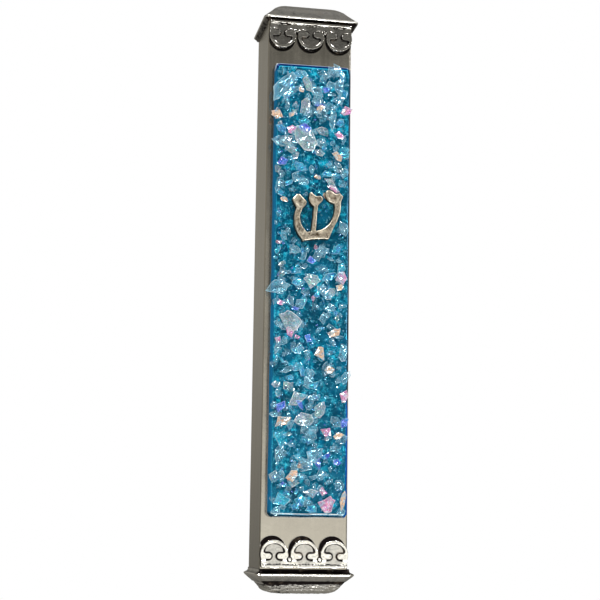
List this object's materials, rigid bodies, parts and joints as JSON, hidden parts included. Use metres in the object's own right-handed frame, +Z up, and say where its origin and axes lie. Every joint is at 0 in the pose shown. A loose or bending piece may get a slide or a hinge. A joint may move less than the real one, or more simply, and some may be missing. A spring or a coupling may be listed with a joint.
{
  "type": "mezuzah case",
  "caption": "Slim wall case with cast end caps and a resin and glass front panel, lifting off a screwed back plate, with a rolled parchment inside",
  "frame": {"origin": "middle of the back plate's flat wall face, half way up the case", "axes": "+Z up along the case, +Y out of the back plate towards the doorpost, +X to the right seen from the front, which faces -Y"},
  "size_m": [0.0244, 0.0214, 0.1488],
  "materials": {
    "satin_nickel": "nickel-plated sheet brass, satin with slight cloudiness",
    "antique_pewter": "pewter casting, darkened in its hollows and polished on its high spots",
    "blue_foil": "blue metallic foil, glossy",
    "teal_resin": "clear cast resin tinted teal, glossy",
    "clear_glass": "clear glass with a faint iridescent coating",
    "aqua_glass": "aqua glass, glossy",
    "rose_glass": "rose dichroic glass",
    "amber_glass": "amber dichroic glass",
    "opal_glass": "milky opal glass with a pearly coating",
    "violet_glass": "violet-blue dichroic glass",
    "mill_aluminium": "extruded aluminium, mill finish",
    "parchment_skin": "natural parchment, matte",
    "clear_plastic": "clear plastic tube",
    "milky_plastic": "soft natural plastic",
    "grey_felt": "wool felt"
  },
  "bodies": {
    "plate": {"back_plate": "mill_aluminium"},
    "case": {"case_channel": "satin_nickel", "top_cap": "antique_pewter", "bottom_cap": "antique_pewter", "top_frieze": "antique_pewter", "bottom_frieze": "antique_pewter", "panel_foil": "blue_foil", "resin_panel": "teal_resin", "shin_letter": "antique_pewter", "clear_glass_chips": "clear_glass", "aqua_glass_chips": "aqua_glass", "rose_glass_chips": "rose_glass", "amber_glass_chips": "amber_glass", "opal_glass_chips": "opal_glass", "violet_glass_chips": "violet_glass", "clear_glass_granules": "clear_glass", "felt_pad": "grey_felt"},
    "scroll": {"parchment_scroll": "parchment_skin", "scroll_sleeve": "clear_plastic", "sleeve_bottom_plug": "milky_plastic", "sleeve_top_plug": "milky_plastic"}
  },
  "joints": [
    {"name": "case_lift", "type": "slide", "parent": "plate", "child": "case", "axis": [0, 0, 1], "range_m": [0, 0.133]},
    {"name": "scroll_turn", "type": "hinge", "parent": "case", "child": "scroll", "pos_m": [0, -0.00925, 0], "axis": [0, 0, 1], "continuous": true}
  ]
}
